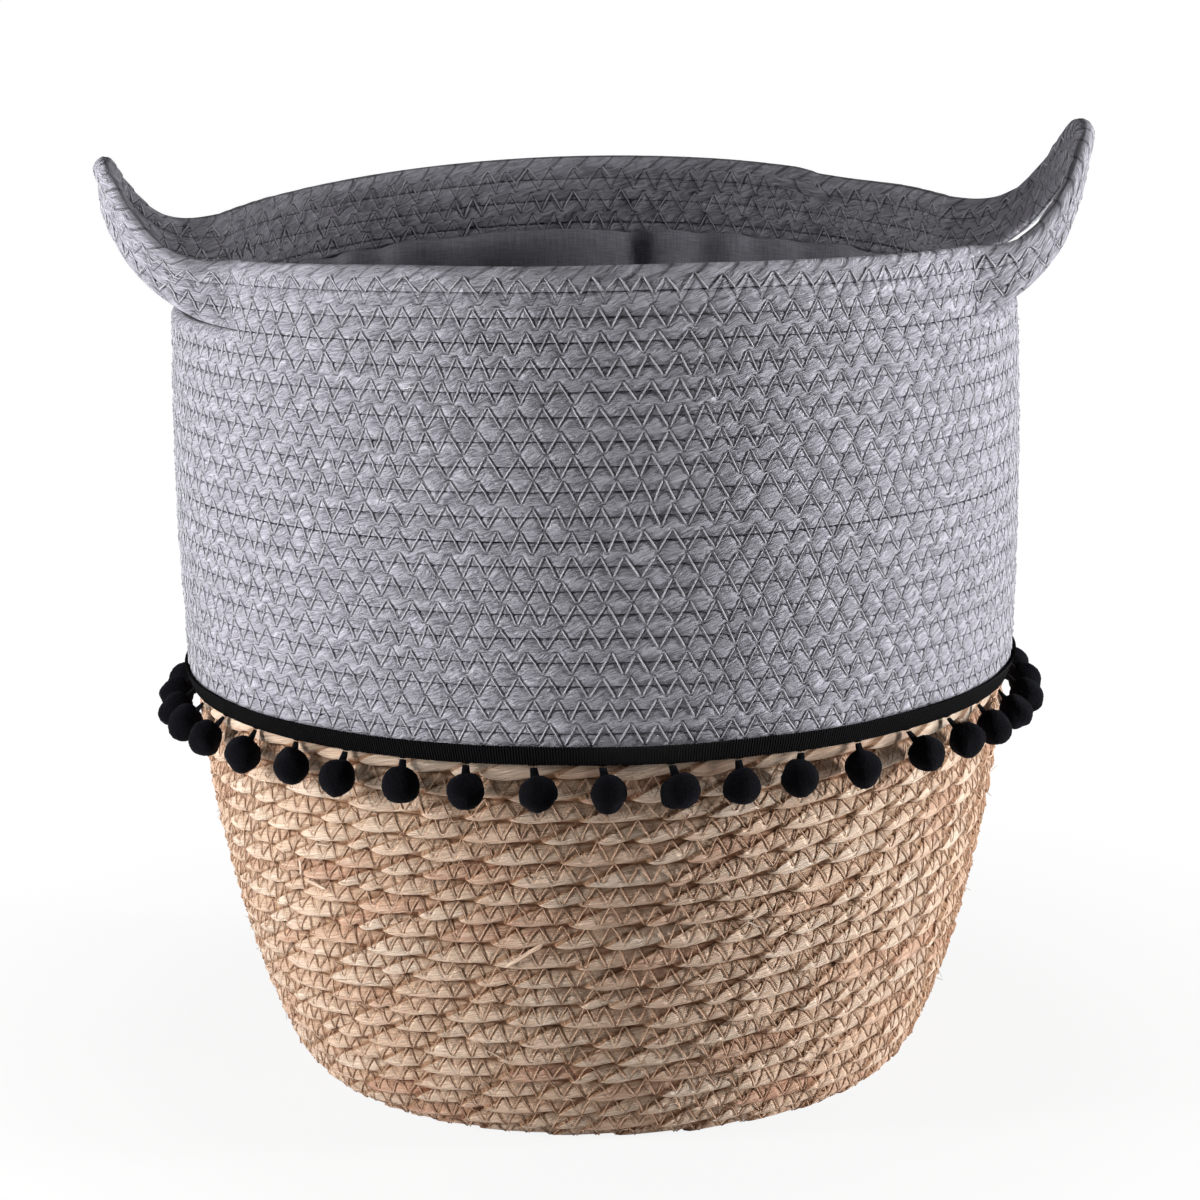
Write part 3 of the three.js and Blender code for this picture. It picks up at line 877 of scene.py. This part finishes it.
def straw_shell(name, node, rows, point, low, high, steps):
    """Rows of straw rope all round: up the outer face, and plain where the lining hides them"""
    columns = rows[0].columns
    outer = np.concatenate([*(row + steps for row in range(low, high)), [high]])
    inner = np.arange(high, low - 1, -1)
    marks = np.concatenate([outer, inner, [low]])
    inside = np.concatenate([np.zeros(len(outer)), np.ones(len(inner)), [0]])
    up = len(marks) - 1

    def read(u, v):
        i = nearest(v * up)
        w = marks[i]
        row = np.clip(whole(w + 1e-6), low, high - 1)
        return np.round(u * columns), w, row, w - row, inside[i]

    def place(u, v, k):
        column, w, row, p, side = read(u, v)
        depth, hang = straw_shape(rows, column, row, p)
        # the column before a new strand moves up close to it, so that its edge is sharp
        push = np.zeros_like(p)
        for r, mine in each(row):
            push[mine] = rows[r].starts_after(column[mine])
        push *= 0.7 * ease(0, 0.1, p) * (1 - ease(0.9, 1, p))
        a = (column + push) / columns * tau + lean_angle(row, p)
        w = np.where(side > 0, w, w - hang)
        return point(a, w, np.where(side > 0, ROPE_DEPTH, np.minimum(depth, ROPE_DEPTH - 1)))

    def maps(u, v, k, fu, fv):
        column, w, row, p, side = read(u, v)
        row = np.clip(whole(face_mark(marks, fv)), low, high - 1)
        p = np.clip(w - row, 0, 1)
        along, beside, tone, share, phase = (np.zeros_like(p) for _ in range(5))
        _, hang = straw_shape(rows, column, row, p)
        a = column / columns * tau + lean_angle(row, p)
        for r, mine in each(row):
            strands = rows[r]
            which, _ = strands.find(np.floor(fu[mine] * columns))
            start, end = strands.starts[which], strands.starts[which + 1]
            ahead = (column[mine] - start) * strands.cell
            along[mine] = ahead + STRAW_LEAN * strand_run(p[mine]) + which * 57.3 + r * 13.1
            beside[mine] = ROW_HEIGHT * p[mine] - 0.22 * ahead + which * 3.7
            tone[mine] = strands.tone[which]
            share[mine] = (column[mine] - start) / (end - start)
            if r < ROWS - 1:
                phase[mine] = stitch_phase(a[mine], r + 1, STRAW_STITCH, straw_radius(r + 1))
        away = np.where(row < ROWS - 1, w - hang - row - 1, NO_THREAD)
        return {"fibre": (along, beside), "strand": (tone, p), "lens": (share, side),
                "stitch": (phase, away)}

    dress(net(name, columns, up, place, maps), straw, node)


def make_straw_rope():
    for part, low, high in (("heel", 0, HEEL_ROWS), ("wall", HEEL_ROWS, SHOULDER_ROW),
                            ("shoulder", SHOULDER_ROW, ROWS)):
        straw_shell("straw_" + part, "lower_" + part, straw_rows, straw_point, low, high, STRAW_STEPS)
    straw_shell("straw_base", "base_disc", base_rows, base_point, 0, BASE_RINGS, STRAW_STEPS[::2])


def sunk_in_straw(a, w, tip):
    row = np.clip(whole(w), 0, ROWS - 1)
    p = w - row
    column = (a - lean_angle(row, p)) / tau * STRAW_COLUMNS
    depth, _ = straw_shape(straw_rows, column, row, p)
    hidden = 0.6 * ease(0.2, 0.7, ripple(a / tau * 300, w * 2.3, 300, 35))
    stuck = 0.7 * ease(0.86, 1, tip) * (p < 0.7)  # where the needle went in
    return np.minimum(depth, 2.2 * ease(0.3, 1.0, p)) - 0.25 + stuck + hidden


def make_straw_threads():
    for name, seams in (("straw_thread_low", range(1, 10)), ("straw_thread_high", range(10, ROWS))):
        sewn = thread(name, seams, STRAW_STITCH, straw_radius, straw_point, STRAW_REACH, sunk_in_straw,
                      STRAW_THREAD, stray=0.15)
        dress(sewn, straw_thread)


# Ribbon and pom-poms
HINGE_R, HINGE_Z = 178.3, 174.719
RIBBON_RADIUS = 180
TIE_MIDDLE = 9.7  # above the pom-pom's middle


def make_ribbon():
    top_r, top_z = 181.1, 183.0
    low_r, low_z = 177.8, 174.72
    rises = np.concatenate([np.linspace(0, 1, 7), np.linspace(1, 0, 7), [0]])
    faces = np.concatenate([np.ones(7), np.zeros(7), [1]])

    def place(u, v, k):
        a = u * tau
        i = nearest(v * 14)
        rise, outer = rises[i], faces[i]
        scallop = 0.22 * np.sin(a * RIBBON_RADIUS * tau / RIB_PITCH) * (np.abs(rise - 0.5) > 0.45)
        z = low_z + (top_z - low_z) * rise + scallop * np.sign(rise - 0.5)
        # a stitch of the ribbon's yarn over each tie
        off = (a + pi / 2) / tau * POM_COUNT
        off = (off - np.round(off)) * tau * HINGE_R / POM_COUNT
        z = z - 0.42 * np.exp(-(off / 1.7) ** 4) * (rise < 0.1)
        z = z + 0.22 * ripple(a / tau * 26, 0 * a, 26, 41)
        r = low_r + (top_r - low_r) * rise + outer * (1 + 0.15 * np.sin(rise * pi))
        return turned(a, r + 0.12 * ripple(a / tau * 60, 0 * a + 3, 60, 42), z)

    def maps(u, v, k, fu, fv):
        return {"rope": (u * tau * RIBBON_RADIUS, v * 12)}

    dress(net("ribbon", 1980, 14, place, maps), ribbon_black, "trim_ribbon")


BALL_DROP, REST_ANGLE = 13.1, radians(40.74)
# How far the pom-poms lean aside, in degrees, from the front one to the right: a pattern used twice
POM_LEANS = (11, 10, -8, -23, -16, 13, 11, -4, -6, 5, 0, 4, -14, -14, 9, 21, 7, 15, 11, 14)


def make_pom(index):
    dice = np.random.default_rng(70 + index)
    a = -pi / 2 + tau * index / POM_COUNT
    name = f"pom_{index + 1:02d}"
    bm = bmesh.new()
    bmesh.ops.create_icosphere(bm, subdivisions=5, radius=1)
    phase = dice.uniform(0, tau, (7, 3))
    waves = dice.normal(0, 1, (7, 3))
    waves *= (3 + 4 * dice.random((7, 1))) / np.linalg.norm(waves, axis=1, keepdims=True)
    stretch = dice.uniform(0.92, 1.2)
    points = np.array([p.co for p in bm.verts])
    bulge = 1 + 0.02 * np.sin(points @ waves.T + phase[:, 0]).sum(1)
    grain = 1 + 0.012 * dice.normal(0, 1, len(points))
    # an egg whose long way lies at its own angle
    tilt = dice.uniform(-pi / 2, pi / 2)
    long_way = np.array((0, sin(tilt), cos(tilt)))
    longer = points @ long_way
    size = 7.7 / stretch ** 0.6
    egg = points + np.outer(longer, long_way) * (stretch ** 1.5 - 1)
    shaped = egg * (bulge * grain)[:, None] * size
    lean = radians(POM_LEANS[index % len(POM_LEANS)])
    # slim enough to clear the ribbon when it swings up
    shaped[:, 0] *= min(1, 7.1 / size)
    shaped[:, 2] *= min(1, 8.1 / shaped[:, 2].max())
    for p, at in zip(bm.verts, shaped):
        p.co = at
    tie = bmesh.ops.create_cone(bm, cap_ends=True, segments=12, radius1=2.0, radius2=1.5, depth=5.6,
                                matrix=Matrix.Translation((0, 0, TIE_MIDDLE)))
    for p in tie["verts"]:
        top = p.co.z > TIE_MIDDLE
        p.co.x *= 0.16 if top else 0.6
        if top:  # cut level with the ribbon's edge, just clear of it
            p.co.z = BALL_DROP - (1.12 + p.co.y * sin(lean)) / cos(lean)
    hang = Matrix.Translation((HINGE_R * cos(a), HINGE_R * sin(a), HINGE_Z))
    for turn, axis in ((a, "Z"), (-REST_ANGLE, "Y"), (lean, "X")):
        hang = hang @ Matrix.Rotation(turn, 4, axis)
    hang = hang @ Matrix.Translation((0, 0, -BALL_DROP))
    bmesh.ops.transform(bm, verts=bm.verts, matrix=Matrix.Scale(MM, 4) @ hang)
    dress(finished(name + "_pile", bm), pile_black, name, body=name)


# Lining
CLOTH = 1.0
LINING_DROP = 32
LINING_COLUMNS, LINING_LEVELS = 480, 60
LINING_JOIN = 0.52  # share of the lining's height that lies below the ribbon
LINING_FLOOR = 9.3
FLOOR_RADIUS, FLOOR_LINES = 125, 12
FOLD_DEPTH, FOLD_FADE = 6, 0.25
PLEATS = ((5, radians(84), radians(2)), (4, radians(59), radians(3)))  # depth, angle and half width


def lining_fold(a, climb):
    """How far the gathered cloth stands in from the wall"""
    crowd = 3 * np.sin(5 * a + radians(42.5))
    big = 0.5 - 0.5 * np.cos(25 * a + crowd + radians(32.5))
    small = 0.5 + 0.5 * ripple(a / tau * 90, climb * 3.0, 90, 52)
    deep = FOLD_FADE + (1 - FOLD_FADE) * climb
    pleat = sum(depth * np.exp(-((a - at) / wide) ** 2) for depth, at, wide in PLEATS)
    return deep * (FOLD_DEPTH * big ** 1.2 + 0.8 * small + pleat)


def make_lining():
    foot = 0.5 / ROWS
    top = 1 - LINING_DROP / grey_outline.length
    lines = LINING_LEVELS + 1
    climbs = np.concatenate([np.linspace(0, 1, lines), np.linspace(1, 0, lines), [0]])
    insides = np.concatenate([np.zeros(lines), np.ones(lines), [0]])
    up = len(climbs) - 1

    def place(u, v, k):
        a = u * tau
        i = nearest(v * up)
        climb, inside = climbs[i], insides[i] > 0
        lower = np.clip(climb / LINING_JOIN, 0, 1)
        upper = np.clip((climb - LINING_JOIN) / (1 - LINING_JOIN), 0, 1)
        depth = ROPE_DEPTH + 0.75 + lining_fold(a, climb) + np.where(inside, CLOTH, 0)
        rl, zl = straw_outline.point(foot + (1 - foot) * lower, depth)
        ru, zu = grey_outline.point(top * upper, depth + 3 * (1 - ease(0, 0.15, upper)))
        r, z = np.where(climb < LINING_JOIN, (rl, zl), (ru, zu))
        hem = 1.6 * ripple(a / tau * 24, 0 * a, 24, 55) * climb ** 3
        return turned(a, r, np.maximum(z + saddle(a, z) + hem, LINING_FLOOR))

    def maps(u, v, k, fu, fv):
        return {"rope": (u * 1080, v * 680)}

    side = net("lining_side", LINING_COLUMNS, up, place, maps)
    dress(side, grey_linen, "liner_side")

    def floor_share(v):
        """Share of the floor's radius, and whether this is its upper side"""
        i = nearest(v * (2 * FLOOR_LINES + 1))
        above = i > FLOOR_LINES
        return np.where(above, 2 * FLOOR_LINES + 1 - i, i) / FLOOR_LINES, above

    def floor(u, v, k):
        share, above = floor_share(v)
        crease = 0.5 * ripple(u * 12, share * 5, 12, 61) * ease(0.1, 0.5, share)
        return turned(u * tau, share * FLOOR_RADIUS, LINING_FLOOR + 0.1 + CLOTH * above + crease)

    def floor_maps(u, v, k, fu, fv):
        x, y, _ = turned(u * tau, floor_share(v)[0] * FLOOR_RADIUS, 0 * u).T
        return {"rope": (x, y)}

    base = net("lining_base", 120, 2 * FLOOR_LINES + 1, floor, floor_maps)
    dress(base, grey_linen, "liner_base")


# Loose ends
def blades(name, point, spots, finish, maps):
    """Flat tapering bits: each runs from an angle and a row to another, at a depth that changes on
    the way, and has a width, a thickness and a share that is left of both at its end"""
    def middle(u, spot):
        a0, w0, d0, a1, w1, d1, *_ = spot
        a = np.radians(a0 + (a1 - a0) * u)
        return point(a, w0 + (w1 - w0) * u, d0 + (d1 - d0) * np.maximum(u, 0) ** 1.6)

    def place(u, v, k):
        at = np.zeros((len(u), 3))
        for i, spot in enumerate(spots):
            mine = k == i
            share, turn = u[mine], v[mine] * tau
            here = middle(share, spot)
            along = unit(middle(share + 0.02, spot) - middle(share - 0.02, spot))
            side = unit(np.cross(along, unit(here * np.array((1, 1, 0)))))
            out = np.cross(side, along)
            width, thick, left = spot[6:]
            size = 1 - (1 - left) * share ** 2
            size = size * np.sqrt(np.clip(1 - (1.02 - 2.04 * share) ** 8, 0.02, 1))
            at[mine] = here + (side * (width / 2 * size * np.cos(turn))[:, None]
                               + out * (thick / 2 * size * np.sin(turn))[:, None])
        return at

    dress(net(name, 12, 8, place, maps, strips=len(spots), close_ends=True), finish)


def make_loose_ends():
    def straw_maps(u, v, k, fu, fv):
        return {"fibre": (u * 14 + k * 31, v * 3), "strand": (0.55 + 0.4 * (k % 2), 0 * u + 0.3),
                "lens": (0 * u + 0.4, 0 * u), "stitch": (0 * u, 0 * u + NO_THREAD)}

    def rope_maps(u, v, k, fu, fv):
        return {"rope": (u * 24, v * 2 + 50), "stitch": (u * 2.2 + v, 0 * u + NO_THREAD)}

    def hair_maps(u, v, k, fu, fv):
        return {"rope": (u * 10, v)}

    # angle, row and depth of both ends, width, thickness and the share left at the end
    stray = [(-104.6, 10.2, -1.6, -98.7, 11.35, -1.3, 2.0, 0.5, 0.9),
             (-138.2, 13.95, -0.8, -138.6, 13.1, -1.2, 1.6, 0.4, 0.8),
             (-138.0, 12.95, -1.0, -133.4, 12.7, -1.2, 1.5, 0.4, 0.9)]
    dice = np.random.default_rng(77)
    for side in (-172, -6):
        for row in np.sort(dice.uniform(3, 17, 9)):
            start = side + dice.uniform(-9, 9)
            stray.append((start, row, 0.6, start + dice.uniform(1.2, 3.2) * dice.choice((-1, 1)),
                          row + dice.uniform(-0.7, 0.7), -dice.uniform(1.5, 3.6), 0.55, 0.25, 0.3))
    for _ in range(16):
        start, row = dice.uniform(-150, -30), dice.uniform(2, 18)
        stray.append((start, row, 0.4, start + dice.uniform(1.5, 4), row + dice.uniform(-0.5, 0.8),
                      -dice.uniform(0.8, 2.2), 0.8, 0.3, 0.3))
    blades("straw_bits", straw_point, stray, straw, straw_maps)

    fray = []
    for row in (16.9, 16.7, 16.4, 16.1, 15.8, 15.2, 12.3, 7.6):
        start = -17 + dice.uniform(-3, 6)
        fray.append((start, row, 0.4, start + dice.uniform(-1, 1.4), row + dice.uniform(-0.5, 0.3),
                     -dice.uniform(2.0, 4.2), 0.4, 0.2, 0.3))
    blades("grey_bits", grey_point, fray, grey_thread, hair_maps)
    lint = [(-114.9, 15.12, -0.5, -113.2, 15.2, -0.6, 0.5, 0.3, 0.6),
            (-114.2, 15.1, -0.6, -113.7, 15.3, -0.8, 0.4, 0.3, 0.5),
            (-63.6, 16.3, -0.4, -63.2, 16.0, -0.6, 0.4, 0.3, 0.5)]
    blades("lint", grey_point, lint, pale_lint, hair_maps)
    end = [(64, 19.55, ROPE_DEPTH - 1.6, 50.5, 18.85, ROPE_DEPTH - 0.4, 7.4, 5.2, 0.75)]
    blades("rope_end", grey_point, end, grey_rope, rope_maps)


# Studio
def level(brightness):
    return (brightness, brightness, brightness, 1)


def make_studio():
    bm = bmesh.new()
    bmesh.ops.create_grid(bm, x_segments=1, y_segments=1, size=FLOOR_HALF)
    floor = finished("floor", bm)
    floor.data.materials.append(bpy.data.materials.new("pale floor"))
    nodes = Nodes(floor.data.materials[0])
    # it glows a little less round the basket, where its shadow shows, and is white further off
    away = nodes.node("VectorMath", nodes.node("TexCoord", out="Object"), out="Value", operation="LENGTH")
    glow = nodes.node("Emission", None, nodes.node("MapRange", away, *FLOOR_GLOW))
    seen = nodes.node("AddShader", glow, nodes.node("BsdfDiffuse", level(FLOOR_SHADOW)))
    nodes.end("Material", nodes.node("BsdfDiffuse", level(FLOOR_LEVEL)), seen)

    world = bpy.data.worlds.new("studio")
    bpy.context.scene.world = world
    nodes = Nodes(world)
    room = nodes.node("Background", None, ROOM_LIGHT)
    nodes.end("World", room, nodes.node("Background", level(1)))

    for name, azimuth, height, distance, wide, tall, power in LAMPS:
        data = bpy.data.lights.new(name, "AREA")
        data.shape = "RECTANGLE"
        data.size, data.size_y = wide, tall
        data.energy = power
        lamp = bpy.data.objects.new(name, data)
        at = Vector((distance * sin(radians(azimuth)), -distance * cos(radians(azimuth)), height))
        aim = (Vector((0, 0, min(height, 0.6))) - at).to_track_quat("-Z", "Y").to_matrix().to_4x4()
        lamp.matrix_world = Matrix.Translation(at) @ aim
        lamp.visible_camera = False
        bpy.context.scene.collection.objects.link(lamp)


FLOOR_HALF = 6  # metres
FLOOR_LEVEL, FLOOR_SHADOW = 0.8, 0.08  # brightness for the light, and of the part that takes shadows
FLOOR_GLOW = (0.2, 0.6, 0.88, 1.0)  # two distances in metres and the glow at each
ROOM_LIGHT = 0.012
# name, azimuth from the camera's side in degrees, height, distance, width, length and power
LAMPS = (("lamp_left", -63, 0.36, 0.87, 0.15, 0.7, 9.4), ("lamp_right", 81, 0.36, 1.5, 0.2, 0.7, 32),
         ("lamp_back_left", -130, 0.5, 1.2, 0.5, 0.9, 2.6),
         ("lamp_back_right", 130, 0.5, 1.2, 0.5, 0.9, 2.6), ("lamp_top", 0, 1.7, 0.01, 0.9, 0.9, 3.0))

# Making
bpy.context.scene.view_settings.view_transform = "Standard"
set_camera()
make_studio()
make_grey_rope()
make_grey_threads()
make_straw_rope()
make_straw_threads()
make_ribbon()
for index in range(POM_COUNT):
    make_pom(index)
make_lining()
make_loose_ends()
